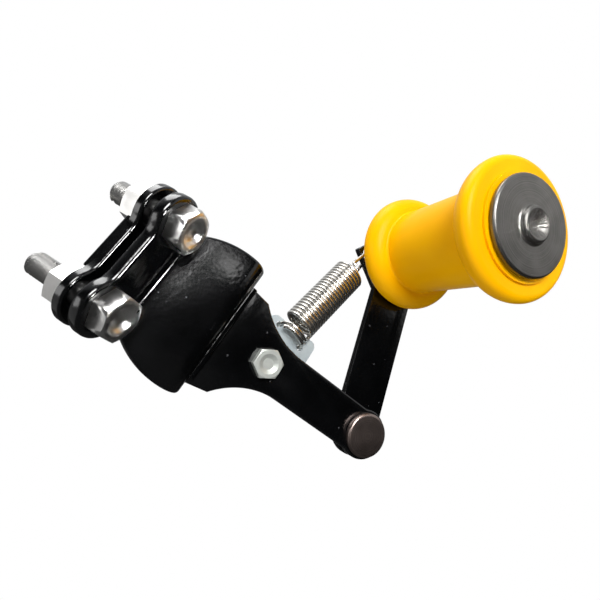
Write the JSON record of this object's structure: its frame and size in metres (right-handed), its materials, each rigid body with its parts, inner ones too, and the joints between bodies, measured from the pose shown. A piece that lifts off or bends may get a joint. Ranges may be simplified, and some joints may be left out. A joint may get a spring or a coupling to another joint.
{
  "type": "chain tensioner",
  "caption": "Sprung chain tensioner: a bolt-on clamp bracket with a welded arm, a swinging link pulled by a coil spring, and a yellow spool roller on bearings.",
  "frame": {"origin": "on the fixed jaw's clamping face, midway between the two clamp bolts", "axes": "+X along the clamp bolts towards their heads, +Y to the back of the bracket, +Z from the lower bolt to the upper bolt"},
  "size_m": [0.1079, 0.073, 0.0997],
  "materials": {
    "black_paint": "gloss",
    "zinc_bolts": "bright zinc",
    "zinc_plate": "bright zinc",
    "spring_steel": "bright nickel",
    "yellow_plastic": "gloss",
    "turned_steel": "turned",
    "pin_steel": "satin",
    "bearing_steel": "ground"
  },
  "bodies": {
    "bracket": {"clamp_bracket": "black_paint", "arm_plate": "black_paint", "weld_bead": "black_paint", "clamp_bolt_upper": "zinc_bolts", "clamp_bolt_lower": "zinc_bolts", "anchor_plate": "zinc_plate", "anchor_bolt": "zinc_bolts", "anchor_washer": "zinc_bolts", "anchor_nut": "zinc_bolts", "pivot_pin": "pin_steel", "pivot_spacer": "pin_steel", "pivot_washer": "pin_steel", "pivot_clip": "pin_steel", "tension_spring": "spring_steel"},
    "loose_jaw": {"clamp_strap": "black_paint", "clamp_washer_upper": "zinc_bolts", "clamp_washer_lower": "zinc_bolts", "clamp_nut_upper": "zinc_bolts", "clamp_nut_lower": "zinc_bolts"},
    "link": {"link_arm": "black_paint", "roller_axle": "turned_steel", "bearing_sleeve": "turned_steel", "axle_spacer": "turned_steel", "axle_washer": "zinc_bolts", "axle_nut": "zinc_bolts", "rear_bearing_inner_ring": "bearing_steel", "front_bearing_inner_ring": "bearing_steel"},
    "spool": {"roller": "yellow_plastic", "rear_bearing_outer_ring": "bearing_steel", "front_bearing_outer_ring": "bearing_steel", "rear_bearing_balls": "bearing_steel", "front_bearing_balls": "bearing_steel"}
  },
  "joints": [
    {"name": "jaw_slide", "type": "slide", "parent": "bracket", "child": "loose_jaw", "axis": [1, 0, 0], "range_m": [-0.006, 0.0018]},
    {"name": "link_swing", "type": "hinge", "parent": "bracket", "child": "link", "pos_m": [0.06266, 0.0588, 0], "axis": [-0.5446, 0.8387, 0], "range_deg": [0, 25], "stiffness_Nm_per_rad": 1.8, "springref_deg": -5.73, "deforming": ["tension_spring"]},
    {"name": "roller_spin", "type": "hinge", "parent": "link", "child": "spool", "pos_m": [0.06019, 0.02947, 0.06015], "axis": [-0.5446, 0.8387, 0], "continuous": true}
  ]
}
